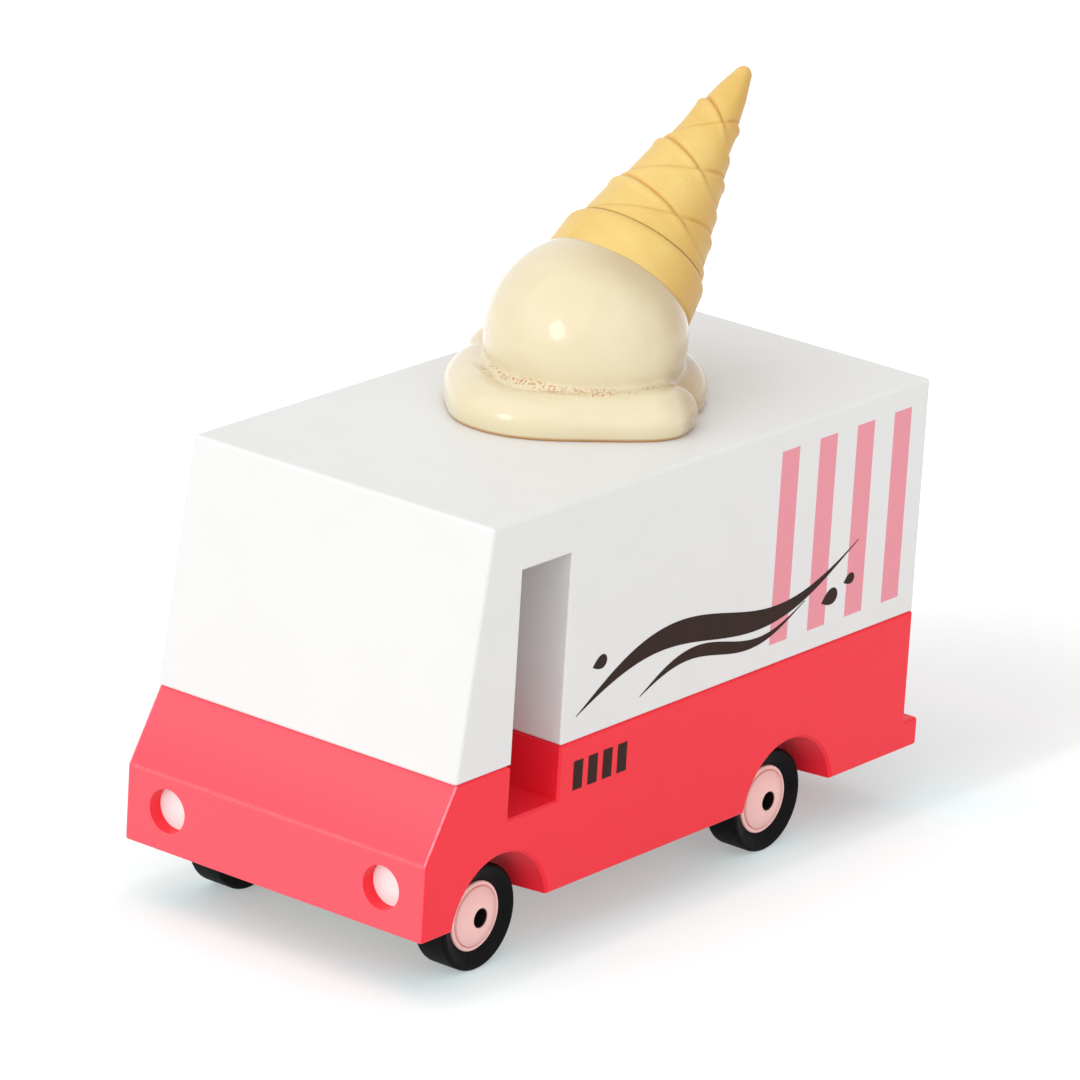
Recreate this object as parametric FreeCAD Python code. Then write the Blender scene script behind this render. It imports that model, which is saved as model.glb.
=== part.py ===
# Pocket-size wooden ice cream truck. Millimetres, +Z up, the front of the truck faces -Y,
# +X is the truck's left side. The origin is on the floor under the middle of the outline.
import FreeCAD, Part
import math
import os
from FreeCAD import Vector as V

os.makedirs("parts", exist_ok=True)

# ---- driving dimensions ------------------------------------------------------------------
WIDTH = 50.0              # both body blocks, side to side
HALF = WIDTH / 2

SEAM_Z = 28.85            # joint between the red lower block and the white upper block
ROOF_Z = 62.0
BOTTOM_Z = 8.8            # underside of the red block, all the way round

NOSE_Y = -52.95           # flat front face of the red block
CREASE_Z = 19.3           # where the front face turns into the sloping hood
HOOD_TOP_Y = -47.3        # hood meets the seam
SCREEN_BOTTOM_Y = -47.85  # sloping windshield, foot
SCREEN_TOP_Y = -42.95     # sloping windshield, head
TAIL_Y = 49.85            # flat rear face of both blocks
BUMPER_Y = 52.95          # rear bumper step
BUMPER_TOP_Z = 12.75

WHITE_EDGE = 0.6          # rounding of the white block's outer edges
SEAM_EDGE = 0.4           # its rounding along the seam
RED_EDGE = 0.4            # rounding of the red block
DOOR_EDGE = 0.3           # bevel where the doorway breaks through the side faces

# doorway, cut straight through both sides of the cab
DOOR_FRONT_Y = -36.5
DOOR_REAR_Y = -26.5
DOOR_TOP_Z = 55.0
STEP_Z = 21.4             # door sill, down inside the red block
POST_ROUND = 1.2          # rounding of the red front post, towards the doorway

# wheels and axles
AXLES = (                 # name, y
    ("front", -37.1),
    ("rear", 23.9),
)
AXLE_Z = 7.2              # equals the tyre radius, the tyres stand on z = 0
TYRE_R = 7.2
TYRE_IN_X = 16.65
TYRE_OUT_X = 22.1
TYRE_EDGE = 0.5
TYRE_DISH = 1.4           # the outer side wall slopes in by this much down to the hub
HUB_R = 4.72
HUB_FACE = (              # x, radius: turned outer face of the hub, from the rim to the centre hole
    (20.90, 4.72),        # rim corner bevel, standing proud of the tyre
    (21.03, 4.59),
    (21.03, 4.27),        # flat rim ring
    (20.84, 4.22),        # groove
    (20.84, 4.11),
    (21.20, 4.01),        # edge of the swelling centre
)
HUB_CROWN = (21.72, 2.7), (21.95, 1.45)   # two points of the swelling face, x and radius
AXLE_R = 1.25
AXLE_END_X = 19.8         # rod ends stop short, inside the hub holes
BORE_R = 1.30             # running fit of the rod in the rail
WELL_R = 9.7              # wheel arch at the side face
WELL_TAPER = 1.3          # the arch narrows by this much at its inner end
WELL_IN_X = 15.5
WELL_EDGE = 0.35          # bevel round the arch

# rail under the body that carries both axles
RAIL_HALF = 12.0
RAIL_FRONT_Y = -42.5
RAIL_REAR_Y = 31.0
RAIL_Z = (5.0, 13.0)

# headlights
LAMP_X, LAMP_Z, LAMP_R = 18.0, 14.6, 3.0
LAMP_RECESS = 3.6         # depth of the drilled hole
LAMP_DISC = 1.5           # thickness of the white disc on its floor

# ice cream: a round scoop standing in what has melted off it
SCOOP_C = V(-0.5, 6.6, 72.2)
SCOOP_R = 13.5
PUDDLE = (14.6, 3.2)      # radius and height of the plain disc under the rolls
ROLLS = (                 # centre x, y from the scoop, ring radius, tube radius, tube height, from, to
    (0.2, -1.3, 15.0, 4.1, 1.3, 150, 377),      # front roll, from behind the right side round to the left
    (-1.5, 1.6, 13.0, 3.6, 1.2, 20, 80),        # second roll, tucked behind the first
    (0.3, 0.6, 13.6, 3.8, 1.1, 78, 130),
    (-0.6, 0.4, 15.2, 3.7, 1.9, 122, 172),      # high roll on the truck's right side
)
ROLL_END = 0.5            # each roll ends in a drop this much fatter

# rolled waffle cone, upside down on the scoop and leaning to the rear
CONE_TILT = 46.5          # degrees back from upright
CONE_TURN = 38.0          # turn about its own axis
CONE_TIP = 43.0           # tip, along the cone's axis from the scoop centre
CONE_RIM = 8.1            # rim of the collar, likewise
CONE_R0, CONE_SLOPE = 0.85, 0.22      # radius at s from the tip is CONE_R0 + CONE_SLOPE * s plus the laps
LAP_STEP = 0.3            # each lapped edge of the wrap stands this proud
LAPS_DOWN = ((6.2, 11.4), (13.2, 19.6), (20.6, 27.2))     # s on one side of the cone, s on the other
LAPS_UP = ((13.3, 7.8), (20.9, 15.6), (28.2, 23.4))
COLLAR_S = 28.4           # collar starts this far from the tip
COLLAR_R = (10.25, 10.95)             # collar radius at its start and at the rim
COLLAR_EDGE = 1.1


def box(x0, x1, y0, y1, z0, z1):
    return Part.makeBox(x1 - x0, y1 - y0, z1 - z0, V(x0, y0, z0))


def prism(points):
    """Side outline given as (y, z), as wide as the truck."""
    wire = Part.makePolygon([V(-HALF, y, z) for y, z in points + points[:1]])
    return Part.Face(wire).extrude(V(WIDTH, 0, 0))


def corner(y, z, dy, dz, r):
    """What rounding the edge at (y, z) takes off wood that lies towards dy, dz, all across the truck."""
    y2, z2 = y + dy * r, z + dz * r
    block = box(-HALF - 1, HALF + 1, min(y, y2), max(y, y2), min(z, z2), max(z, z2))
    return block.cut(Part.makeCylinder(r, WIDTH + 2, V(-HALF - 1, y2, z2), V(1, 0, 0)))


def mid(e):
    return e.valueAt((e.FirstParameter + e.LastParameter) / 2)


def edges_where(shape, test):
    return [e for e in shape.Edges if test(mid(e))]


def near(a, b):
    return abs(a - b) < 0.01


def save(shape, node):
    shape = shape.removeSplitter()
    if shape.ShapeType == "Compound" and len(shape.Solids) == 1:
        shape = shape.Solids[0]
    assert shape.isValid() and len(shape.Solids) == 1, node
    shape.exportStep("parts/" + node + ".step")


# ---- doorway cutter: a box with a bevelled mouth at each side face --------------------------
def rectangle(x, grow):
    y0, y1 = DOOR_FRONT_Y - grow, DOOR_REAR_Y + grow
    z0, z1 = STEP_Z - grow, DOOR_TOP_Z + grow
    return Part.makePolygon([V(x, y0, z0), V(x, y1, z0), V(x, y1, z1), V(x, y0, z1), V(x, y0, z0)])


door = box(-HALF - 1, HALF + 1, DOOR_FRONT_Y, DOOR_REAR_Y, STEP_Z, DOOR_TOP_Z)
for s in (-1, 1):
    inner, outer = rectangle(s * (HALF - DOOR_EDGE), 0), rectangle(s * (HALF + 0.5), DOOR_EDGE + 0.5)
    door = door.fuse(Part.makeLoft([inner, outer], True, True))

# ---- upper body: white block with sloping windshield and the doorway slot -------------------
upper = prism([(SCREEN_BOTTOM_Y, SEAM_Z), (SCREEN_TOP_Y, ROOF_Z), (TAIL_Y, ROOF_Z), (TAIL_Y, SEAM_Z)])
upper = upper.makeFillet(WHITE_EDGE, edges_where(upper, lambda p: p.z > SEAM_Z + 1))
upper = upper.makeFillet(SEAM_EDGE, edges_where(upper, lambda p: near(p.z, SEAM_Z)))
upper = upper.cut(door)
for y, toward in ((DOOR_FRONT_Y, -1), (DOOR_REAR_Y, 1)):
    upper = upper.cut(corner(y, SEAM_Z, toward, 1, SEAM_EDGE))
save(upper, "upper_body")

# ---- lower body: red block ------------------------------------------------------------------
lower = prism([(NOSE_Y, BOTTOM_Z), (NOSE_Y, CREASE_Z), (HOOD_TOP_Y, SEAM_Z), (TAIL_Y, SEAM_Z),
               (TAIL_Y, BUMPER_TOP_Z), (BUMPER_Y, BUMPER_TOP_Z), (BUMPER_Y, BOTTOM_Z)])
lower = lower.makeFillet(RED_EDGE, edges_where(
    lower, lambda p: not (near(p.y, TAIL_Y) and near(p.z, BUMPER_TOP_Z))))
lower = lower.cut(door)
for y, toward, r in ((DOOR_FRONT_Y, -1, POST_ROUND), (DOOR_REAR_Y, 1, SEAM_EDGE)):
    lower = lower.cut(corner(y, SEAM_Z, toward, -1, r))
for name, y in AXLES:
    for s in (-1, 1):
        taper = WELL_TAPER / (HALF - WELL_IN_X)
        well = Part.makeCone(WELL_R - WELL_TAPER, WELL_R + taper, HALF + 1 - WELL_IN_X,
                             V(s * WELL_IN_X, y, AXLE_Z), V(s, 0, 0))
        bevel = Part.makeCone(WELL_R, WELL_R + WELL_EDGE + 1, WELL_EDGE + 1,
                              V(s * (HALF - WELL_EDGE), y, AXLE_Z), V(s, 0, 0))
        lower = lower.cut(well).cut(bevel)
for s in (-1, 1):
    hole = Part.makeCylinder(LAMP_R, LAMP_RECESS + 1, V(s * LAMP_X, NOSE_Y - 1, LAMP_Z), V(0, 1, 0))
    lower = lower.cut(hole)
lower = lower.cut(box(-RAIL_HALF, RAIL_HALF, RAIL_FRONT_Y, RAIL_REAR_Y, BOTTOM_Z - 1, RAIL_Z[1]))
save(lower, "lower_body")

# ---- chassis rail ---------------------------------------------------------------------------
rail = box(-RAIL_HALF, RAIL_HALF, RAIL_FRONT_Y, RAIL_REAR_Y, *RAIL_Z)
for name, y in AXLES:
    rail = rail.cut(Part.makeCylinder(BORE_R, WIDTH, V(-HALF, y, AXLE_Z), V(1, 0, 0)))
save(rail, "chassis_rail")

# ---- headlights -----------------------------------------------------------------------------
for side, s in (("left", 1), ("right", -1)):
    y0 = NOSE_Y + LAMP_RECESS - LAMP_DISC
    save(Part.makeCylinder(LAMP_R, LAMP_DISC, V(s * LAMP_X, y0, LAMP_Z), V(0, 1, 0)), "headlight_" + side)


# ---- axles, hubs and tyres ------------------------------------------------------------------
def turned(points, crown=()):
    """Half section of (x, radius) points turned about the X axis. A crown bulges the face from the
    last point, through the crown's first point, to its second point at the rim of the centre hole."""
    at = [V(x, r, 0) for x, r in points]
    pieces = [Part.LineSegment(a, b).toShape() for a, b in zip(at, at[1:])]
    end = at[-1]
    if crown:
        peak, last = [V(x, r, 0) for x, r in crown]
        pieces.append(Part.Arc(end, peak, last).toShape())
        hole = V(last.x - 0.15, AXLE_R, 0)
        pieces.append(Part.LineSegment(last, hole).toShape())
        end = hole
    pieces.append(Part.LineSegment(end, at[0]).toShape())
    return Part.Face(Part.Wire(pieces)).revolve(V(0, 0, 0), V(1, 0, 0), 360)


hub = turned([(TYRE_IN_X, AXLE_R), (TYRE_IN_X, HUB_R)] + list(HUB_FACE), HUB_CROWN)
tyre = turned([(TYRE_IN_X, HUB_R), (TYRE_IN_X, TYRE_R), (TYRE_OUT_X, TYRE_R),
               (TYRE_OUT_X - TYRE_DISH, HUB_R)])
shoulders = [e for e in tyre.Edges if near(e.BoundBox.YMax, TYRE_R) and e.BoundBox.XLength < 1]
tyre = tyre.makeFillet(TYRE_EDGE, shoulders)
for name, y in AXLES:
    save(Part.makeCylinder(AXLE_R, 2 * AXLE_END_X, V(-AXLE_END_X, y, AXLE_Z), V(1, 0, 0)), name + "_axle")
    for side, turn in (("left", 0), ("right", 180)):
        for blank, kind in ((hub, "hub"), (tyre, "tyre")):
            piece = blank.copy()
            piece.rotate(V(0, 0, 0), V(0, 0, 1), turn)
            piece.translate(V(0, y, AXLE_Z))
            save(piece, kind + "_" + name + "_" + side)

# ---- ice cream scoop in its melted rolls ------------------------------------------------------
above_roof = box(-HALF, HALF, -HALF, HALF + 20, ROOF_Z, ROOF_Z + 60)
melted = [Part.makeCylinder(PUDDLE[0], PUDDLE[1], V(SCOOP_C.x + 0.2, SCOOP_C.y - 0.5, ROOF_Z))]
for cx, cy, ring_r, tube_r, height, start, stop in ROLLS:
    centre = V(SCOOP_C.x + cx, SCOOP_C.y + cy, ROOF_Z + height)
    roll = Part.makeTorus(ring_r, tube_r, V(0, 0, 0), V(0, 0, 1), -180, 180, stop - start)
    roll.rotate(V(0, 0, 0), V(0, 0, 1), start)
    roll.translate(centre)
    melted.append(roll)
    for deg in (start, stop):
        a = math.radians(deg)
        end = centre + V(ring_r * math.cos(a), ring_r * math.sin(a), 0)
        drop = Part.makeSphere(tube_r + ROLL_END, end)
        drop.rotate(end, V(0, 0, 1), deg + 90)
        melted.append(drop)
scoop = Part.makeSphere(SCOOP_R, SCOOP_C).fuse(melted).common(above_roof)
save(scoop, "ice_cream_scoop")


# ---- waffle cone --------------------------------------------------------------------------------
# Built upright on its own axis: the tip is at height 0 and s grows downwards, then it is put in place.
# Every lapped edge is a slanting plane, and all below it is one LAP_STEP fatter.
def radius(s, laps=0):
    return CONE_R0 + CONE_SLOPE * s + LAP_STEP * laps


def below(lap):
    """Everything under the slanting plane through one lapped edge."""
    s0, s1 = lap
    slant = math.degrees(math.atan2(s0 - s1, radius(s0) + radius(s1)))
    block = Part.makeBox(120, 120, 60, V(-60, -60, -60))
    block.rotate(V(0, 0, 0), V(0, 1, 0), -slant)
    block.translate(V(-radius(s0), 0, -s0))
    return block


rim_s = CONE_TIP - CONE_RIM
wrap_end = COLLAR_S + 1   # the wraps run on into the collar
cone = None
for i in range(len(LAPS_DOWN) + 1):
    for j in range(len(LAPS_UP) + 1):
        wrap = Part.makeCone(radius(wrap_end, i + j), radius(0, i + j), wrap_end, V(0, 0, -wrap_end))
        if i:
            wrap = wrap.common(below(LAPS_DOWN[i - 1]))
        if j:
            wrap = wrap.common(below(LAPS_UP[j - 1]))
        cone = wrap if cone is None else cone.fuse(wrap)
collar = Part.makeCone(COLLAR_R[1], COLLAR_R[0], rim_s - COLLAR_S, V(0, 0, -rim_s))
collar = collar.makeFillet(COLLAR_EDGE, edges_where(collar, lambda p: near(p.z, -COLLAR_S)))
cone = cone.fuse(collar).removeSplitter()
tip = edges_where(cone, lambda p: near(p.z, 0) and near(math.hypot(p.x, p.y), CONE_R0))
cone = cone.makeFillet(CONE_R0 * 0.85, tip)
cone.rotate(V(0, 0, 0), V(0, 0, 1), CONE_TURN)
cone.rotate(V(0, 0, 0), V(1, 0, 0), -CONE_TILT)
tilt = math.radians(CONE_TILT)
cone.translate(SCOOP_C + V(0, math.sin(tilt), math.cos(tilt)) * CONE_TIP)
cone = cone.cut(Part.makeSphere(SCOOP_R, SCOOP_C))
save(cone, "waffle_cone")
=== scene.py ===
"""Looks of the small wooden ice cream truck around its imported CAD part. Metres, +Z up, nose towards -Y."""
import math

import bpy
import bmesh
import numpy as np
from mathutils import Matrix, Vector


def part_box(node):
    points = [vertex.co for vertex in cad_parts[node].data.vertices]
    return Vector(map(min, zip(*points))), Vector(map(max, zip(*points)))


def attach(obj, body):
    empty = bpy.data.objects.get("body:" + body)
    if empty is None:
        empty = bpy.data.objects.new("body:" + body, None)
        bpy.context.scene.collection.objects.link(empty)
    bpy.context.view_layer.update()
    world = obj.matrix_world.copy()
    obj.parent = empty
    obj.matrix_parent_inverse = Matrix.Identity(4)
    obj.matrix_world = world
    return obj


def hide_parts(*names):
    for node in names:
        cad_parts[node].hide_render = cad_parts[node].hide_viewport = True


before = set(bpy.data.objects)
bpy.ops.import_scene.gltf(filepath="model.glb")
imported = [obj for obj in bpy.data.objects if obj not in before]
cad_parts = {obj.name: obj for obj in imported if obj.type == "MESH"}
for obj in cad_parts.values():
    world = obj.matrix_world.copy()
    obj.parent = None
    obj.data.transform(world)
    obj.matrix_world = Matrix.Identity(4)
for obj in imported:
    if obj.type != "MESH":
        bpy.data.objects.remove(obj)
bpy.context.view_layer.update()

MM = 0.001
BODY = "truck"


def add_object(name, data):
    ob = bpy.data.objects.new(name, data)
    bpy.context.collection.objects.link(ob)
    return ob


# ---- camera ------------------------------------------------------------------------------
CAMERA_AT = (0.57944, -0.75162, 0.37107)
AZIMUTH, ELEVATION, ROLL = (math.radians(a) for a in (37.672, 19.014, 3.494))
LENS, SENSOR = 254.21, 36.0         # mm
CLIP = (0.05, 50.0)


def add_camera():
    """The photograph's view: a long lens, above and to the front left, held a little askew."""
    level = math.cos(ELEVATION)
    back = Vector((math.sin(AZIMUTH) * level, -math.cos(AZIMUTH) * level, math.sin(ELEVATION)))
    right = Vector((0, 0, 1)).cross(back).normalized()
    up = back.cross(right)
    rolled_right = right * math.cos(ROLL) + up * math.sin(ROLL)
    rolled_up = up * math.cos(ROLL) - right * math.sin(ROLL)
    data = bpy.data.cameras.new("camera")
    data.sensor_width = SENSOR
    data.lens = LENS
    data.clip_start, data.clip_end = CLIP
    cam = add_object("camera", data)
    turn = Matrix((rolled_right, rolled_up, back)).transposed()
    cam.matrix_world = Matrix.Translation(CAMERA_AT) @ turn.to_4x4()
    bpy.context.scene.camera = cam


add_camera()


# ---- shader helpers ------------------------------------------------------------------------
def opaque(colour):
    """A colour with the alpha that its socket wants. Anything else is passed on as it is."""
    return (*colour, 1) if isinstance(colour, tuple) else colour


class Nodes:
    """Adds shader nodes to a tree. A value is a number, a colour or another node's output."""

    def __init__(self, tree):
        self.tree = tree

    def node(self, kind, **attrs):
        n = self.tree.nodes.new(kind)
        for key, value in attrs.items():
            setattr(n, key, value)
        return n

    def put(self, socket, value):
        if isinstance(value, bpy.types.NodeSocket):
            self.tree.links.new(value, socket)
        else:
            socket.default_value = value

    def math(self, op, *values):
        n = self.node("ShaderNodeMath", operation=op)
        for socket, value in zip(n.inputs, values):
            self.put(socket, value)
        return n.outputs[0]

    def plus(self, a, b):
        return self.math("ADD", a, b)

    def minus(self, a, b):
        return self.math("SUBTRACT", a, b)

    def times(self, first, *others):
        for other in others:
            first = self.math("MULTIPLY", first, other)
        return first

    def inverse(self, value):
        """1 where the value is 0, and 0 where it is 1."""
        return self.minus(1.0, value)

    def absolute(self, value):
        return self.math("ABSOLUTE", value)

    def length(self, a, b):
        return self.math("SQRT", self.plus(self.times(a, a), self.times(b, b)))

    def split(self, vector):
        """The X, Y and Z outputs of a vector."""
        n = self.node("ShaderNodeSeparateXYZ")
        self.put(n.inputs[0], vector)
        return n.outputs

    def spread(self, value, low, high, at_low=0.0, at_high=1.0, curve="LINEAR"):
        """Runs from at_low to at_high while the value goes from low to high, and stays there."""
        n = self.node("ShaderNodeMapRange", interpolation_type=curve)
        for key, number in (("Value", value), ("From Min", low), ("From Max", high),
                            ("To Min", at_low), ("To Max", at_high)):
            self.put(n.inputs[key], number)
        return n.outputs["Result"]

    def smooth(self, value, low, high):
        """0 below low, 1 above high, and an S-curve between."""
        return self.spread(value, low, high, curve="SMOOTHSTEP")

    def plateau(self, value, low, full, fall, high):
        """0 outside low and high, and 1 between full and fall."""
        return self.times(self.smooth(value, low, full), self.inverse(self.smooth(value, fall, high)))

    def between(self, value, low, high):
        """1 between low and high, with hard edges."""
        return self.times(self.math("GREATER_THAN", value, low), self.math("LESS_THAN", value, high))

    def ramp(self, fac, *stops):
        n = self.node("ShaderNodeValToRGB")
        elements = n.color_ramp.elements
        while len(elements) < len(stops):
            elements.new(0.5)
        for element, (position, colour) in zip(elements, stops):
            element.position = position
            element.color = opaque(colour)
        self.put(n.inputs[0], fac)
        return n.outputs["Color"]

    def mix(self, fac, a, b, mode="MIX"):
        n = self.node("ShaderNodeMix", data_type="RGBA", blend_type=mode)
        self.put(n.inputs["Factor"], fac)
        self.put(n.inputs["A"], opaque(a))
        self.put(n.inputs["B"], opaque(b))
        return n.outputs["Result"]

    def tint(self, base, mask, strength, colour):
        """The base colour, turned to another by the mask times the strength."""
        return self.mix(self.times(mask, strength), base, colour)

    def choose(self, fac, first, second):
        """The first shader where fac is 0, and the second where it is 1."""
        n = self.node("ShaderNodeMixShader")
        for socket, value in zip(n.inputs, (fac, first, second)):
            self.put(socket, value)
        return n.outputs[0]

    def shows_background(self):
        """1 for the camera's rays, and for rays that a glossy surface mirrors or that glass lets through."""
        path = self.node("ShaderNodeLightPath").outputs
        mirrored = self.math("MAXIMUM", path["Is Camera Ray"], path["Is Glossy Ray"])
        return self.math("MAXIMUM", mirrored, path["Is Transmission Ray"])


class Mat(Nodes):
    """A Principled material whose patterns lie in object coordinates, in metres."""

    def __init__(self, name, roughness, **sockets):
        self.mat = bpy.data.materials.new(name)
        self.mat.use_nodes = True
        super().__init__(self.mat.node_tree)
        self.bsdf = self.tree.nodes["Principled BSDF"]
        self.bsdf.inputs["Roughness"].default_value = roughness
        for key, value in sockets.items():
            self.bsdf.inputs[key.replace("_", " ")].default_value = value
        self.where = self.node("ShaderNodeTexCoord").outputs["Object"]
        self.relief = None

    def axes(self):
        return self.split(self.where)

    def noise(self, grain, detail=2.0, rough=0.5, stretch=(1, 1, 1), distortion=0.0):
        """Noise whose grains are about this many metres across."""
        placed = self.node("ShaderNodeMapping")
        self.put(placed.inputs["Vector"], self.where)
        self.put(placed.inputs["Scale"], stretch)
        n = self.node("ShaderNodeTexNoise")
        for key, value in (("Vector", placed.outputs[0]), ("Scale", 1.0 / grain), ("Detail", detail),
                           ("Roughness", rough), ("Distortion", distortion)):
            self.put(n.inputs[key], value)
        return n.outputs["Fac"]

    def colour(self, value):
        self.put(self.bsdf.inputs["Base Color"], opaque(value))

    def rough(self, fac, low, high):
        self.put(self.bsdf.inputs["Roughness"], self.spread(fac, 0.0, 1.0, low, high))

    def bump(self, fac, depth):
        """Adds a relief of depth metres to the surface."""
        n = self.node("ShaderNodeBump")
        self.put(n.inputs["Strength"], 1.0)
        self.put(n.inputs["Distance"], depth)
        self.put(n.inputs["Height"], fac)
        if self.relief is not None:
            self.put(n.inputs["Normal"], self.relief)
        self.relief = n.outputs["Normal"]
        self.put(self.bsdf.inputs["Normal"], self.relief)


# ---- paints and bare materials of the CAD pieces ---------------------------------------------
WHITE = (0.80, 0.80, 0.79)
RED = (0.93, 0.019, 0.040)
# The next two colours are painted light: a paler red for the lit nose and hood, and a painted highlight for
# the hood's edges.
RED_PAINTED_LIGHT = (0.93, 0.095, 0.130)
RED_PAINTED_HIGHLIGHT = (1.0, 0.45, 0.50)
PINK_STRIPE = (0.83, 0.295, 0.355)
PINK_HUB = (1.0, 0.64, 0.60)
# The next two colours are painted shade: in the hub's groove and in its centre hole.
HUB_GROOVE_SHADE = (0.62, 0.22, 0.19)
HOLE_SHADE = (0.012, 0.008, 0.007)
# Painted light: its red is held back to cancel the red light that the body throws on the discs.
LAMP_WHITE = (0.93, 1.0, 1.0)

STRIPES = 4
STRIPE_START = 32.65 * MM        # the first stripe's front edge, ahead of the rear face
STRIPE_PITCH, STRIPE_WIDTH = 8.28 * MM, 3.86 * MM
STRIPE_BELOW, STRIPE_ABOVE = 3.0 * MM, 3.2 * MM      # white left under and over the stripes
NOSE_DEPTH = 10 * MM
CREASE_Z = 19.3 * MM             # where the nose turns into the sloping hood
HUB_GROOVE = (4.04 * MM, 4.11 * MM, 4.22 * MM, 4.28 * MM)      # radii where it starts and ends
HUB_HOLE = (1.27 * MM, 1.42 * MM)
TYRE_TURNING = 0.33 * MM         # from one turning mark to the next

AXLE_YS = [sum(p[1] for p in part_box(end + "_axle")) / 2 for end in ("front", "rear")]
AXLE_Z = sum(p[2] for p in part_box("front_axle")) / 2


def sprayed(name, colour, roughness, peel=0.000012, soft=0.985, gloss=0.4):
    """Satin spray paint on sanded wood: faint clouds, orange peel and a hint of grain under it. peel is the
    depth of the orange peel in metres, and soft is how bright the clouds are beside the rest. Returns the
    material and its base colour."""
    m = Mat(name, roughness, Specular_IOR_Level=gloss)
    cloud = tuple(c * soft for c in colour)
    base = m.ramp(m.noise(0.009, 3.0), (0.35, cloud), (0.65, colour))
    m.colour(base)
    m.rough(m.noise(0.0012, 3.0), roughness - 0.05, roughness + 0.06)
    m.bump(m.noise(0.0006, 2.0), peel)
    m.bump(m.noise(0.0018, 3.0, stretch=(1, 0.08, 1)), peel * 0.7)
    return m, base


def white_body():
    """White paint with four upright pink stripes sprayed on the rear of each side."""
    m, base = sprayed("white_paint", WHITE, 0.36, gloss=0.28)
    x, y, z = m.axes()
    lo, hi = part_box("upper_body")
    side = m.math("GREATER_THAN", m.absolute(x), hi[0] - 0.4 * MM)
    height = m.between(z, lo[2] + STRIPE_BELOW, hi[2] - STRIPE_ABOVE)
    any_stripe = 0.0
    for k in range(STRIPES):
        start = hi[1] - STRIPE_START + k * STRIPE_PITCH
        any_stripe = m.plus(m.between(y, start, start + STRIPE_WIDTH), any_stripe)
    m.colour(m.mix(m.times(side, height, any_stripe), base, PINK_STRIPE))
    return m.mat


def red_body():
    """Red paint, with painted light making the nose and the sloping hood paler, and a patchy painted
    highlight along the hood's edges.
    """
    m, base = sprayed("red_paint", RED, 0.42, gloss=0.32)
    x, y, z = m.axes()
    lo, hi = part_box("lower_body")
    facing = m.split(m.node("ShaderNodeTexCoord").outputs["Normal"])["Y"]
    ahead = m.inverse(m.smooth(facing, -0.86, -0.45))
    nose = m.times(ahead, m.math("LESS_THAN", y, lo[1] + NOSE_DEPTH))
    slope = m.plus(m.times(m.smooth(z, CREASE_Z, 27.0 * MM), 0.25), 0.75)
    # Painted light: the front faces of the nose and hood are painted paler, as where the light falls on them.
    painted_light = m.times(nose, m.math("MAXIMUM", slope, m.math("LESS_THAN", z, CREASE_Z)))
    crease = m.inverse(m.smooth(m.absolute(m.minus(z, CREASE_Z)), 0.08 * MM, 0.36 * MM))
    edge = m.times(m.smooth(m.absolute(x), hi[0] - 0.45 * MM, hi[0] - 0.25 * MM),
                   m.smooth(z, CREASE_Z - 0.3 * MM, CREASE_Z + 0.3 * MM))
    patchy = m.plus(m.times(m.smooth(m.noise(0.0008, 2.0), 0.35, 0.6), 0.5), 0.5)
    # Painted highlight along the crease and the hood's side edges, broken up in patches.
    painted_highlight = m.math("MAXIMUM", m.times(crease, 0.15), m.times(edge, 0.75))
    m.colour(m.mix(m.times(painted_highlight, patchy, nose), m.mix(painted_light, base, RED_PAINTED_LIGHT), RED_PAINTED_HIGHLIGHT))
    return m.mat


def from_axle(m):
    """Distance in metres from the nearer of the two axles' centre lines."""
    _, y, z = m.axes()
    rise = m.minus(z, AXLE_Z)
    front, rear = (m.length(m.minus(y, at), rise) for at in AXLE_YS)
    return m.math("MINIMUM", front, rear)


def hub_paint():
    """Pink paint on the turned hub, with painted shade darkening its groove and filling its centre hole with
    black.
    """
    m, base = sprayed("hub_pink", PINK_HUB, 0.4, peel=0.000008, gloss=0.3)
    r = from_axle(m)
    # Painted shade: the groove is painted darker and the centre hole black.
    groove_shaded = m.tint(base, m.plateau(r, *HUB_GROOVE), 0.35, HUB_GROOVE_SHADE)
    m.colour(m.mix(m.inverse(m.smooth(r, *HUB_HOLE)), groove_shaded, HOLE_SHADE))
    return m.mat


def tyre_black():
    """Black rubber: dull, with fine turning marks round the side walls and a slightly rough tread."""
    m = Mat("tyre_black", 0.6, Specular_IOR_Level=0.10)
    m.colour(m.ramp(m.noise(0.004, 3.0), (0.3, (0.002, 0.002, 0.0025)), (0.7, (0.0045, 0.0045, 0.005))))
    m.rough(m.noise(0.0015, 3.0), 0.5, 0.7)
    m.bump(m.math("SINE", m.times(from_axle(m), 2 * math.pi / TYRE_TURNING)), 0.000003)
    m.bump(m.noise(0.0005, 3.0), 0.00002)
    return m.mat


def plain_wood():
    """Unpainted pale wood with its grain along the truck, for the rail underneath."""
    m = Mat("bare_wood", 0.62, Specular_IOR_Level=0.3)
    grain = m.noise(0.0016, 5.0, 0.6, stretch=(1, 0.05, 1), distortion=0.6)
    m.colour(m.ramp(grain, (0.3, (0.47, 0.30, 0.16)), (0.55, (0.62, 0.43, 0.25)), (0.75, (0.70, 0.51, 0.32))))
    m.bump(grain, 0.00003)
    return m.mat


def rod_steel():
    """Dark drawn steel, streaked along the rod."""
    m = Mat("rod_steel", 0.4, Metallic=0.8)
    line = m.noise(0.0004, 3.0, stretch=(0.05, 1, 1))
    m.colour(m.ramp(line, (0.3, (0.030, 0.024, 0.022)), (0.7, (0.075, 0.062, 0.055))))
    m.rough(line, 0.28, 0.45)
    m.bump(line, 0.000004)
    return m.mat


def dress(node, mat):
    """Gives a CAD node its material."""
    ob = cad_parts[node]
    ob.data.materials.clear()
    ob.data.materials.append(mat)


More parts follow.
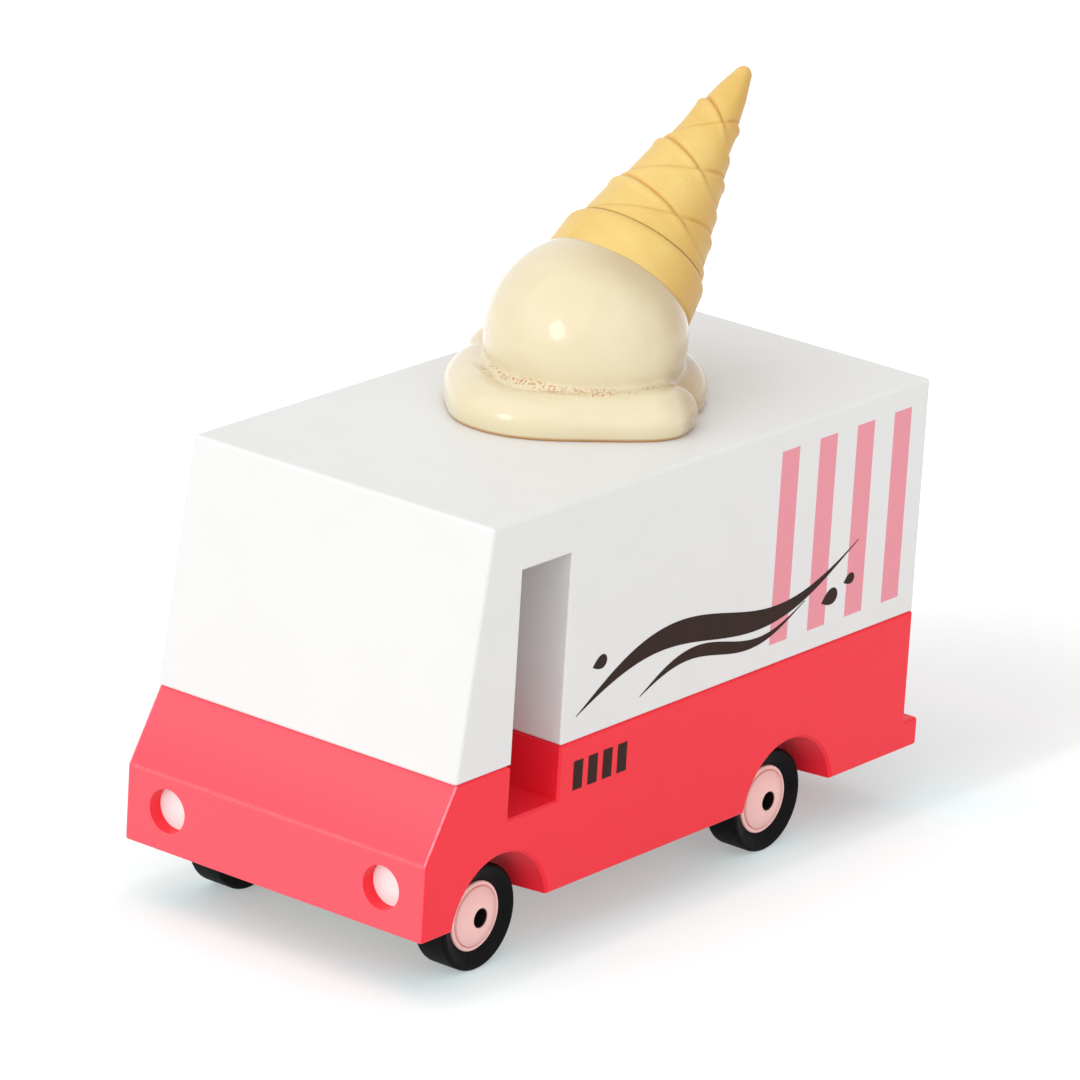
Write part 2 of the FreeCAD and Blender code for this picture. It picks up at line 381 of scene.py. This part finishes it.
dress("upper_body", white_body())
dress("lower_body", red_body())
lamp = sprayed("lamp_white", LAMP_WHITE, 0.4)[0].mat
hub_pink = hub_paint()
tyre = tyre_black()
steel = rod_steel()
dress("chassis_rail", plain_wood())
for side in ("left", "right"):
    dress("headlight_" + side, lamp)
    for end in ("front", "rear"):
        dress("hub_%s_%s" % (end, side), hub_pink)
        dress("tyre_%s_%s" % (end, side), tyre)
for end in ("front", "rear"):
    dress(end + "_axle", steel)


# ---- mesh helpers --------------------------------------------------------------------------
def mesh_object(name, verts, faces):
    me = bpy.data.meshes.new(name)
    me.from_pydata([tuple(v) for v in verts], [], faces)
    me.validate()
    return add_object(name, me)


def bmesh_object(name, bm):
    me = bpy.data.meshes.new(name)
    bm.to_mesh(me)
    bm.free()
    return add_object(name, me)


def tube_faces(rows, cols):
    """Faces of a closed tube made of rings of cols points each, with a cap at both ends."""
    faces = [(i * cols + j, i * cols + (j + 1) % cols, (i + 1) * cols + (j + 1) % cols, (i + 1) * cols + j)
             for i in range(rows - 1) for j in range(cols)]
    faces.append(tuple(range(cols))[::-1])
    faces.append(tuple((rows - 1) * cols + j for j in range(cols)))
    return faces


def directions(line):
    """Unit direction of a flat curve at each of its points."""
    d = np.gradient(line[:, :2], axis=0)
    return d / np.linalg.norm(d, axis=1)[:, None]


def catmull(pts, at):
    """Smooth curve through the points, sampled at the given positions along them."""
    padded = np.vstack([2 * pts[0] - pts[1], pts, 2 * pts[-1] - pts[-2]])
    i = np.minimum(at.astype(int), len(pts) - 2)
    t = (at - i)[:, None]
    p0, p1, p2, p3 = (padded[i + k] for k in range(4))
    return 0.5 * (2 * p1 + (p2 - p0) * t + (2 * p0 - 5 * p1 + 4 * p2 - p3) * t ** 2
                  + (3 * p1 - p0 - 3 * p2 + p3) * t ** 3)


# ---- ice cream -----------------------------------------------------------------------------
SCOOP_LO, SCOOP_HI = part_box("ice_cream_scoop")
ROOF = SCOOP_LO[2]
SCOOP_R = 13.5 * MM
SETTLED = 1.6 * MM        # the melting ball has sunk this far below its plain CAD solid
CENTRE = Vector((-0.5 * MM, 6.6 * MM, SCOOP_HI[2] - SCOOP_R - SETTLED))
SKIRT_FOOT_R, SKIRT_TOP_R, SKIRT_DEPTH = 0.0166, 0.0131, 0.0108
SKIRT_SHIFT = (0.2 * MM, -0.5 * MM)                  # of its centre from the ball's
VOXEL, SMOOTHINGS = 0.00032, 14                      # how finely the parts are joined, and how softly
UNEVEN, UNEVEN_WAVES = 0.00012, (310, 270, 330)      # height of the unevenness, and radians per metre
GAP = 0.00002                                        # between the flat foot and the roof

# Centre line points of each roll on the roof: x, y, half width, half height and height above it, in mm.
FRONT_ROLL = (
    (-13.8, 10.5, 2.6, 2.6, 1.6), (-14.6, 6.5, 3.2, 3.2, 1.7), (-13.9, 1.7, 3.7, 3.6, 1.8),
    (-11.5, -2.8, 3.9, 3.7, 1.8), (-8.1, -6.9, 3.9, 3.7, 1.7), (-3.9, -9.9, 4.0, 3.7, 1.6),
    (0.6, -10.2, 4.0, 3.7, 1.6), (5.0, -7.8, 4.0, 3.7, 1.6), (9.1, -3.7, 4.1, 3.8, 1.7),
    (12.8, 0.5, 4.2, 3.9, 1.8), (14.5, 3.3, 4.2, 3.9, 1.9), (14.0, 6.4, 3.9, 3.7, 1.9),
)
REAR_ROLL = (
    (10.4, 7.6, 3.4, 3.4, 1.5), (10.8, 11.4, 3.6, 3.4, 1.6), (9.4, 14.9, 3.7, 3.5, 1.7),
    (6.6, 17.9, 3.8, 3.6, 1.8), (3.2, 19.8, 3.8, 3.6, 1.8), (-1.0, 20.6, 3.7, 3.5, 1.7),
    (-5.2, 20.0, 3.6, 3.4, 1.6), (-9.0, 18.0, 3.5, 3.4, 1.6), (-12.2, 15.0, 3.3, 3.3, 1.7),
)
HIGH_ROLL = (
    (-16.0, 4.0, 2.2, 2.2, 2.6), (-16.8, 7.6, 3.0, 3.0, 3.1), (-15.9, 11.6, 3.4, 3.4, 3.1),
    (-13.8, 15.4, 3.4, 3.3, 2.6), (-10.8, 18.0, 2.6, 2.6, 2.0),
)
ROLL_STEPS, ROLL_COLS = 12, 40           # rings from one point to the next, and points round a ring
DOME = [math.radians(a) for a in np.linspace(80, 0, 7)]      # rings of a roll's rounded end, tip first

CREAM_LOW, CREAM_HIGH = (0.74, 0.63, 0.41), (0.78, 0.685, 0.47)
TOASTED, FOOT_BROWN = (0.66, 0.30, 0.07), (0.50, 0.22, 0.045)


def roll_mesh(name, row):
    """A fat rounded roll of melted ice cream along its centre line, with domed ends."""
    pts = np.array(row)
    line = catmull(pts, np.linspace(0, len(pts) - 1, ROLL_STEPS * (len(pts) - 1) + 1))
    d = directions(line)
    angles = np.arange(ROLL_COLS) * 2 * math.pi / ROLL_COLS
    verts = []

    def ring(at, along, shrink):
        x, y, w, h, z = at
        for c in angles:
            verts.append(((x + along[1] * w * shrink * math.cos(c)) * MM,
                          (y - along[0] * w * shrink * math.cos(c)) * MM,
                          ROOF + (z + h * shrink * math.sin(c)) * MM))

    def dome_ring(end, along, a, way):
        at = end.copy()
        at[:2] += way * along * at[2] * math.sin(a)
        ring(at, along, math.cos(a))

    for a in DOME:
        dome_ring(line[0], d[0], a, -1)
    for at, along in zip(line[1:-1], d[1:-1]):
        ring(at, along, 1.0)
    for a in DOME[::-1]:
        dome_ring(line[-1], d[-1], a, 1)
    return mesh_object(name, verts, tube_faces(len(verts) // ROLL_COLS, ROLL_COLS))


def make_uneven(me):
    """Moves the surface in and out a very little, as on a cast made by hand."""
    co = np.empty(len(me.vertices) * 3)
    me.vertices.foreach_get("co", co)
    co = co.reshape(-1, 3)
    rel = co - np.array(CENTRE)
    a, b, c = UNEVEN_WAVES
    wobble = np.sin(rel[:, 0] * a + 1.0) * np.sin(rel[:, 1] * b + 2.0) * np.sin(rel[:, 2] * c + 0.5)
    out = rel / np.linalg.norm(rel, axis=1)[:, None]
    co += out * (wobble * UNEVEN)[:, None]
    me.vertices.foreach_set("co", co.ravel())


def cut_flat(me):
    """Cuts the mesh off just above the roof and closes it with a flat foot."""
    bm = bmesh.new()
    bm.from_mesh(me)
    bmesh.ops.bisect_plane(bm, geom=bm.verts[:] + bm.edges[:] + bm.faces[:], plane_co=(0, 0, ROOF + GAP),
                           plane_no=(0, 0, 1), clear_inner=True)
    rim = [e for e in bm.edges if e.is_boundary]
    bmesh.ops.triangle_fill(bm, use_beauty=True, use_dissolve=False, edges=rim)
    bmesh.ops.recalc_face_normals(bm, faces=bm.faces)
    bm.to_mesh(me)
    bm.free()
    for poly in me.polygons:
        poly.use_smooth = poly.center.z > ROOF + 1.5 * GAP
    me.update()


def build_scoop():
    """A ball in a sloping skirt with three rolls round it, joined into one softened skin."""
    bm = bmesh.new()
    bmesh.ops.create_uvsphere(bm, u_segments=96, v_segments=48, radius=SCOOP_R)
    bmesh.ops.translate(bm, vec=CENTRE, verts=bm.verts)
    ball = bmesh_object("melting_scoop", bm)
    bm = bmesh.new()
    bmesh.ops.create_cone(bm, cap_ends=True, segments=64, radius1=SKIRT_FOOT_R, radius2=SKIRT_TOP_R,
                          depth=SKIRT_DEPTH)
    middle = Vector((CENTRE.x + SKIRT_SHIFT[0], CENTRE.y + SKIRT_SHIFT[1], ROOF))
    bmesh.ops.translate(bm, vec=middle, verts=bm.verts)
    parts = [ball, bmesh_object("skirt", bm)]
    for name, row in (("front_roll", FRONT_ROLL), ("rear_roll", REAR_ROLL), ("high_roll", HIGH_ROLL)):
        parts.append(roll_mesh(name, row))
    bpy.ops.object.select_all(action="DESELECT")
    for ob in parts:
        ob.select_set(True)
    bpy.context.view_layer.objects.active = ball
    bpy.ops.object.join()
    for kind, settings in (("REMESH", {"mode": "VOXEL", "voxel_size": VOXEL}),
                           ("SMOOTH", {"factor": 0.5, "iterations": SMOOTHINGS})):
        mod = ball.modifiers.new(kind.lower(), kind)
        for key, value in settings.items():
            setattr(mod, key, value)
        bpy.ops.object.modifier_apply(modifier=mod.name)
    make_uneven(ball.data)
    cut_flat(ball.data)
    return ball


def shaded_cream(m):
    """The cream's colour, with painted shade on the side turned away and on the far roll, and painted shade
    and a painted reflection of the brown cone under the cone.
    """
    x, y, z = m.axes()
    up = m.minus(z, ROOF)
    dx, dy = m.minus(x, CENTRE.x), m.minus(y, CENTRE.y)
    axis = (CONE_TIP - CONE_FOOT).normalized()
    toward_tip = m.plus(m.times(dy, axis.y), m.times(m.minus(z, CENTRE.z), axis.z))
    under_cone = m.times(m.smooth(toward_tip, 1.5 * MM, 8.5 * MM), m.smooth(x, -9 * MM, 8 * MM))
    away = m.plus(m.times(dx, 0.78), m.times(dy, 0.62))
    turned_away = m.times(m.smooth(away, 8.5 * MM, 13.5 * MM), m.smooth(up, 3 * MM, 8 * MM))
    far_roll = m.times(m.smooth(m.plus(y, m.times(x, 0.5)), 12 * MM, 15 * MM),
                       m.inverse(m.smooth(up, 5.5 * MM, 7.5 * MM)))
    colour = m.ramp(m.noise(0.012, 3.0), (0.3, CREAM_LOW), (0.7, CREAM_HIGH))
    # Painted shade: each mask turns the cream towards a darker, browner colour; under the cone it is also a
    # painted reflection of the cone.
    for mask, strength, shade_colour in ((under_cone, 0.7, (0.52, 0.37, 0.18)),
                                 (turned_away, 0.75, (0.50, 0.33, 0.15)),
                                 (far_roll, 0.7, (0.42, 0.25, 0.09))):
        colour = m.tint(colour, mask, strength, shade_colour)
    return colour


def toasted_pits(m):
    """1 in the small pits of the wavering line where the ball meets the rolls, on its front."""
    x, y, z = m.axes()
    dx, dy = m.minus(x, CENTRE.x), m.minus(y, CENTRE.y)
    wander = m.times(m.minus(m.noise(0.006, 1.0), 0.5), 1.4 * MM)
    level = m.plus(m.minus(z, ROOF), wander)
    line = m.plateau(level, 4.7 * MM, 5.0 * MM, 5.6 * MM, 6.0 * MM)
    near = m.math("LESS_THAN", m.length(dx, dy), 15.2 * MM)
    ahead = m.smooth(m.minus(m.times(dx, 0.45), m.times(dy, 0.89)), 5.5 * MM, 8.5 * MM)
    grains = m.smooth(m.noise(0.00034, 2.0, 0.6), 0.54, 0.58)
    patchy = m.smooth(m.noise(0.0032, 2.0), 0.27, 0.40)
    return m.times(line, near, ahead, grains, patchy)


def cream():
    """Glossy cream paint with toasted pits round its front and a brown line along the foot, over a cream
    colour with painted shade.
    """
    m = Mat("cream", 0.26, Specular_IOR_Level=0.4, Coat_Weight=0.8, Coat_Roughness=0.05,
            Subsurface_Weight=0.12, Subsurface_Scale=0.002, Subsurface_Radius=(1.0, 0.7, 0.4))
    pits = toasted_pits(m)
    # Browner along the foot, within about half a millimetre of the roof.
    foot = m.inverse(m.smooth(m.minus(m.axes()["Z"], ROOF), 0.15 * MM, 0.6 * MM))
    m.colour(m.tint(m.tint(shaded_cream(m), pits, 0.9, TOASTED), foot, 0.9, FOOT_BROWN))
    m.bump(m.times(pits, -1.0), 0.00006)
    m.bump(m.noise(0.0055, 1.0), 0.00022)
    m.bump(m.noise(0.0022, 1.0), 0.00005)
    return m.mat


# ---- waffle cone, its shape in mm -------------------------------------------------------------
CONE_TIP, CONE_FOOT = Vector((-1.1, 39.1, 101.35)), Vector((-0.7, 8.1, 71.5))     # on its axis
TURN = 127.5              # degrees about the axis to the side where the laps have crossed
R0, SLOPE, STEP = 0.95, 0.22, 0.3       # radius at the tip, its growth per mm, and what each lap adds
SPREAD = 0.29             # mean growth of radius per mm with the laps
TIP_ROUND = 1.1           # length of the rounded tip
# Each lap's edge is a slanting cut: distance from the tip on the low side and on the high side.
LAPS_DOWN = ((7.0, 12.9), (15.2, 20.8), (23.2, 28.8))
LAPS_UP = ((14.6, 8.2), (22.6, 16.2), (30.4, 24.2))
COLLAR_S, COLLAR_R, COLLAR_EDGE = 30.3, (10.15, 10.9), 1.4    # start, radii at start and rim, rounding
RIM, LIP, LIP_DEPTH = 36.8, 1.1, 0.75   # end of the collar, and the length and depth of its rounded lip
CONE_COLS = 220

WAFER_LOW, WAFER_HIGH = (0.76, 0.50, 0.135), (0.81, 0.585, 0.19)
# The shaded and groove colours below are painted shade.
WAFER_BROWN, WAFER_SHADED, WAFER_GROOVE_SHADE = (0.72, 0.42, 0.09), (0.56, 0.30, 0.05), (0.60, 0.25, 0.02)


def smoothstep(u, low, high):
    t = np.clip((u - low) / (high - low), 0, 1)
    return t * t * (3 - 2 * t)


def hump(u, centre, width):
    return np.exp(-((u - centre) / width) ** 2)


def quarter_round(t):
    """Rises from 0 at t = 0 to 1 at t = 1 along a quarter of a circle."""
    return np.sqrt(np.clip(1 - np.clip(1 - t, 0, 1) ** 2, 0, 1))


def cone_profile(S, PHI):
    """Radius of the cone and how deep its grooves are, at distances S from the tip and angles PHI round it.
    Each lap adds a step with a raised lip and a groove beside it, and wanders a little as it goes round."""
    across = np.cos(PHI)
    bend = 0.35 * np.sin(PHI * 3 + 0.7) + 0.2 * np.sin(PHI * 5 + 2.0)
    r = R0 + SLOPE * S + 0.28 * smoothstep(S, 0.5, 5.0) * (1 - smoothstep(S, 8.0, 12.0))
    groove = np.zeros_like(S)
    past = smoothstep(across, 0.36, 0.58)          # 1 on the high side, where the laps have crossed
    for laps, strength, sway in ((LAPS_DOWN, 1 - 0.55 * past, -0.5), (LAPS_UP, 0.35 + 0.5 * past, 0.5)):
        for s0, s1 in laps:
            r0, r1 = R0 + SPREAD * s0, R0 + SPREAD * s1
            u = S - (s0 + (s1 - s0) * ((R0 + SPREAD * S) * across + r0) / (r0 + r1) + bend * sway)
            soft = np.clip(S / 6.0, 0.25, 1.0) * strength
            r += STEP * smoothstep(u, -0.35, 0.45)
            r += soft * (0.20 * hump(u, 0.75, 0.6) - 0.28 * hump(u, -0.12, 0.34))
            groove = np.maximum(groove, strength * hump(u, -0.08, 0.26))
    r *= quarter_round(S / TIP_ROUND)
    t = S - COLLAR_S
    collar = COLLAR_R[0] + (COLLAR_R[1] - COLLAR_R[0]) * np.clip(t / (RIM - COLLAR_S), 0, 1)
    rounding = COLLAR_EDGE * (1 - quarter_round(t / COLLAR_EDGE))
    r = np.where(t >= 0, collar - rounding + 0.05 * bend, r)
    r -= LIP_DEPTH * np.clip((S - (RIM - LIP)) / LIP, 0, 1) ** 2
    return r, np.where(t >= 0, 0.8 * hump(t, 0, 0.25), groove)


def cone_mesh():
    """The rolled cone, from its tip to its rim and on round the hollow that the ball fills. For the paint,
    each point keeps its groove depth and its place in the cone's own frame."""
    s = np.unique(np.concatenate([np.linspace(0.002, COLLAR_S - 0.02, 250),
                                  np.linspace(COLLAR_S, COLLAR_S + 1.5, 28),
                                  np.linspace(COLLAR_S + 1.5, RIM, 34)]))
    phi = np.arange(CONE_COLS) * 2 * math.pi / CONE_COLS
    S, PHI = np.meshgrid(s, phi, indexing="ij")
    r, groove = cone_profile(S, PHI)
    skin = np.stack([r * np.cos(PHI), r * np.sin(PHI), -S], -1)

    tip, foot = CONE_TIP * MM, CONE_FOOT * MM
    place = (Matrix.Translation(tip) @ (tip - foot).to_track_quat("Z", "X").to_matrix().to_4x4()
             @ Matrix.Rotation(math.radians(TURN), 4, "Z"))
    ball = place.inverted() @ CENTRE / MM
    hollow = []
    for q in np.linspace(r[-1].mean(), 0.3, 10):
        x, y = q * np.cos(phi), q * np.sin(phi)
        z = ball.z + np.sqrt((SCOOP_R / MM - 0.06) ** 2 - (x - ball.x) ** 2 - (y - ball.y) ** 2)
        hollow.append(np.stack([x, y, z], -1))

    rings = np.concatenate([skin, np.array(hollow)])
    own = rings.reshape(-1, 3) * MM
    m = np.array(place)
    faces = [f[::-1] for f in tube_faces(len(rings), CONE_COLS)]
    ob = mesh_object("rolled_cone", own @ m[:3, :3].T + m[:3, 3], faces)
    depth = np.concatenate([groove.ravel(), np.zeros(len(own) - groove.size)])
    layers = ob.data.attributes
    layers.new("groove", "FLOAT", "POINT").data.foreach_set("value", depth)
    layers.new("along", "FLOAT_VECTOR", "POINT").data.foreach_set("vector", own.ravel())
    for poly in ob.data.polygons:
        poly.use_smooth = len(poly.vertices) < 5      # all but the two end caps
    return ob


def waffle():
    """Golden wafer paint, browner at the tip, with painted shade on the low side and in the grooves along the
    laps, and faint turned rings.
    """
    m = Mat("waffle", 0.38, Specular_IOR_Level=0.45, Subsurface_Weight=0.05, Subsurface_Scale=0.001)
    groove = m.node("ShaderNodeAttribute", attribute_name="groove").outputs["Fac"]
    own = m.node("ShaderNodeAttribute", attribute_name="along").outputs["Vector"]
    x, _, z = m.split(own)
    near_tip = m.smooth(z, -20 * MM, 0.0)
    radius = m.plus(m.times(z, -SPREAD), R0 * MM)
    low_side = m.smooth(m.math("DIVIDE", x, radius), 0.0, 1.0)
    colour = m.ramp(m.noise(0.007, 4.0, 0.6), (0.3, WAFER_LOW), (0.7, WAFER_HIGH))
    # Browner at the tip, and painted shade on the low side and in the lap grooves.
    for mask, strength, brown in ((near_tip, 0.45, WAFER_BROWN), (low_side, 0.75, WAFER_SHADED),
                                  (groove, 0.65, WAFER_GROOVE_SHADE)):
        colour = m.tint(colour, mask, strength, brown)
    m.colour(colour)
    rings = m.node("ShaderNodeTexWave", wave_type="RINGS", rings_direction="SPHERICAL")
    for key, value in (("Vector", own), ("Scale", 330.0), ("Distortion", 3.5), ("Detail", 1.0)):
        m.put(rings.inputs[key], value)
    m.bump(m.times(rings.outputs["Fac"], m.smooth(m.noise(0.006, 1.0), 0.42, 0.58)), 0.00002)
    m.bump(m.noise(0.0009, 3.0), 0.00003)
    return m.mat


scoop = build_scoop()
scoop.data.materials.append(cream())
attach(scoop, BODY)
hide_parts("ice_cream_scoop")

cone = cone_mesh()
cone.data.materials.append(waffle())
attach(cone, BODY)
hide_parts("waffle_cone")


# ---- painted swash and bars on both sides, in mm ----------------------------------------------
SIDE_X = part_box("upper_body")[1][0]      # metres
FILM = 0.00004            # metres: the paint stands this far out and reaches as far into the wood
SYRUP = (0.026, 0.007, 0.002)
TAIL = 1.9                # length of a drop's tail, in radii of the drop
BARS, BAR_START, BAR_PITCH = 4, -22.6, 3.05
BAR_HALF, BAR_HEIGHTS = 0.95, (22.0, 26.0)


def ribbon(name, side, line, mat):
    """A thin film of paint on a side face. line holds y, z and half width in mm."""
    pts = np.array(line)
    d = directions(pts)
    n = np.stack([-d[:, 1], d[:, 0]], -1) * pts[:, 2:3]
    edge_a, edge_b = pts[:, :2] + n, pts[:, :2] - n
    verts, count = [], len(pts)
    for x in (SIDE_X - FILM, SIDE_X + FILM):
        for row in (edge_a, edge_b):
            verts += [(side * x, y * MM, z * MM) for y, z in row]
    faces = []
    for a in range(count - 1):
        b = a + 1
        faces += [(2 * count + a, 2 * count + b, 3 * count + b, 3 * count + a),
                  (a, count + a, count + b, b),
                  (a, b, 2 * count + b, 2 * count + a),
                  (count + b, count + a, 3 * count + a, 3 * count + b)]
    faces += [(0, 2 * count, 3 * count, count), (count - 1, 2 * count - 1, 4 * count - 1, 3 * count - 1)]
    ob = mesh_object(name, verts, faces)
    bm = bmesh.new()
    bm.from_mesh(ob.data)
    bmesh.ops.recalc_face_normals(bm, faces=bm.faces)
    bm.to_mesh(ob.data)
    bm.free()
    ob.data.materials.append(mat)
    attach(ob, BODY)


def streak(y0, z0, y1, z1, sway, thick):
    """Centre line of a syrup streak: a lazy S between two points, fattest past its middle."""
    rows = []
    for t in np.linspace(0, 1, 160):
        y = y0 + (y1 - y0) * t
        z = z0 + (z1 - z0) * t + sway * math.sin(2 * math.pi * t)
        rows.append((y, z, 0.05 + thick * math.sin(math.pi * t ** 0.85) ** 1.5))
    return rows


def droplet(y, z, size):
    """Round drop with a short tail towards the front."""
    rows = []
    for u in np.linspace(-TAIL, 1, 60):
        if u > 0:
            half = size * 0.95 * math.sqrt(max(0.0, 1 - u * u))
        else:
            half = size * 0.95 * math.cos(math.pi / 2 * min(1.0, -u / TAIL))
        rows.append((y + size * u, z + 0.25 * size * u, max(0.02, half)))
    return rows


SWASH = (
    ("long", streak(-23.8, 32.2, 35.8, 42.4, 3.4, 1.75)),
    ("short", streak(-10.5, 31.6, 24.5, 36.4, 2.0, 0.85)),
    ("drop_a", droplet(30.6, 35.6, 1.2)),
    ("drop_b", droplet(34.6, 37.2, 0.8)),
    ("drop_c", droplet(-19.0, 38.6, 1.0)),
)
brown = sprayed("syrup_brown", SYRUP, 0.5, soft=0.8, gloss=0.14)[0].mat
for side, word in ((1, "left"), (-1, "right")):
    for name, line in SWASH:
        ribbon("swash_%s_%s" % (word, name), side, line, brown)
    for k in range(BARS):
        y = BAR_START + BAR_PITCH * k
        ribbon("bar_%s_%d" % (word, k), side, [(y, z, BAR_HALF) for z in BAR_HEIGHTS], brown)


# ---- floor, world and lamps --------------------------------------------------------------------
FLOOR_HALF = 4                       # metres
FLOOR_LIT = (0.9, 0.9, 0.9)          # what the floor gives back to the truck
FLOOR_SEEN = (0.75, 0.75, 0.75)      # what the camera sees, before the glow
# Beside the truck the glow paints light, and behind it a painted shadow.
GLOW, GLOW_BESIDE, GLOW_BEHIND = 0.34, 0.09, 0.15      # its level, more beside the truck, less behind
WORLD_FRONT, WORLD_BACK = 0.90, 0.45
SUNS = (                             # name, direction towards it, strength, and width in degrees
    ("key", (0.003, -0.948, 0.318), 0.33, 18),
    ("fill", (-0.12, -0.70, 0.70), 0.72, 80),
    ("side", (0.94, -0.20, 0.26), 0.36, 60),
)


def floor_seen(m):
    """The floor as the camera sees it. Part of its white glows; the glow is painted light, stronger beside
    the truck, and weaker behind it, where it paints a long soft shadow. It leans to cyan near the red body,
    which takes the red cast off the shadow."""
    x, y, _ = m.axes()
    outside = m.math("MAXIMUM", m.minus(m.absolute(x), 25 * MM), m.minus(m.absolute(y), 53 * MM))
    cast = m.ramp(m.spread(outside, -10 * MM, 60 * MM),
                  (0.0, (0.60, 1, 1)), (0.07, (0.62, 1, 1)), (0.15, (0.78, 1, 1)),
                  (0.23, (0.82, 1, 1)), (0.40, (0.93, 1, 1)), (0.7, (1, 1, 1)))
    ahead = m.smooth(m.times(y, -1.0), 46 * MM, 54 * MM)
    cast = m.tint(cast, ahead, 0.45, (1.0, 1.0, 1.0))
    plain = m.node("ShaderNodeBsdfDiffuse")
    m.put(plain.inputs["Color"], m.mix(1.0, cast, FLOOR_SEEN, "MULTIPLY"))
    # Painted light beside the truck and a painted shadow behind it, both in the glow.
    beside = m.smooth(m.absolute(x), 25.5 * MM, 30 * MM)
    away = m.length(m.minus(x, 4 * MM), m.times(m.minus(y, 90 * MM), 0.85))
    behind = m.inverse(m.smooth(away, 8 * MM, 55 * MM))
    level = m.plus(m.times(beside, GLOW_BESIDE), GLOW)
    glow = m.node("ShaderNodeEmission")
    m.put(glow.inputs["Strength"], m.minus(level, m.times(behind, GLOW_BEHIND)))
    both = m.node("ShaderNodeAddShader")
    m.put(both.inputs[0], plain.outputs[0])
    m.put(both.inputs[1], glow.outputs[0])
    return both.outputs[0]


def add_floor():
    """White paper sweep. From below it is clear to the camera, so that the underside shows."""
    h = FLOOR_HALF
    ob = mesh_object("floor", [(-h, -h, 0), (h, -h, 0), (h, h, 0), (-h, h, 0)], [(0, 1, 2, 3)])
    m = Mat("floor", 1.0)
    m.tree.nodes.remove(m.bsdf)
    lit = m.node("ShaderNodeBsdfDiffuse")
    m.put(lit.inputs["Color"], opaque(FLOOR_LIT))
    top = m.choose(m.shows_background(), lit.outputs[0], floor_seen(m))
    from_below = m.times(m.node("ShaderNodeLightPath").outputs["Is Camera Ray"],
                         m.node("ShaderNodeNewGeometry").outputs["Backfacing"])
    whole = m.choose(from_below, top, m.node("ShaderNodeBsdfTransparent").outputs[0])
    m.put(m.tree.nodes["Material Output"].inputs["Surface"], whole)
    ob.data.materials.append(m.mat)


def add_world():
    """Even white light, weaker from behind the truck. The camera and reflections see plain white."""
    world = bpy.data.worlds.new("studio")
    world.use_nodes = True
    n = Nodes(world.node_tree)
    along = n.split(n.node("ShaderNodeTexCoord").outputs["Generated"])["Y"]
    light = n.spread(along, -0.1, 0.95, WORLD_FRONT, WORLD_BACK, "SMOOTHSTEP")
    background = n.tree.nodes["Background"]
    n.put(background.inputs["Strength"], n.math("MAXIMUM", n.shows_background(), light))
    n.put(background.inputs["Color"], (1, 1, 1, 1))
    bpy.context.scene.world = world


def add_sun(name, toward, strength, angle):
    """A soft lamp far away in the direction toward."""
    data = bpy.data.lights.new(name, "SUN")
    data.energy = strength
    data.angle = math.radians(angle)
    ob = add_object(name, data)
    ob.rotation_mode = "QUATERNION"
    ob.rotation_quaternion = Vector(toward).to_track_quat("Z", "Y")


add_floor()
add_world()
for sun in SUNS:
    add_sun(*sun)

scene = bpy.context.scene
scene.view_settings.view_transform = "Standard"
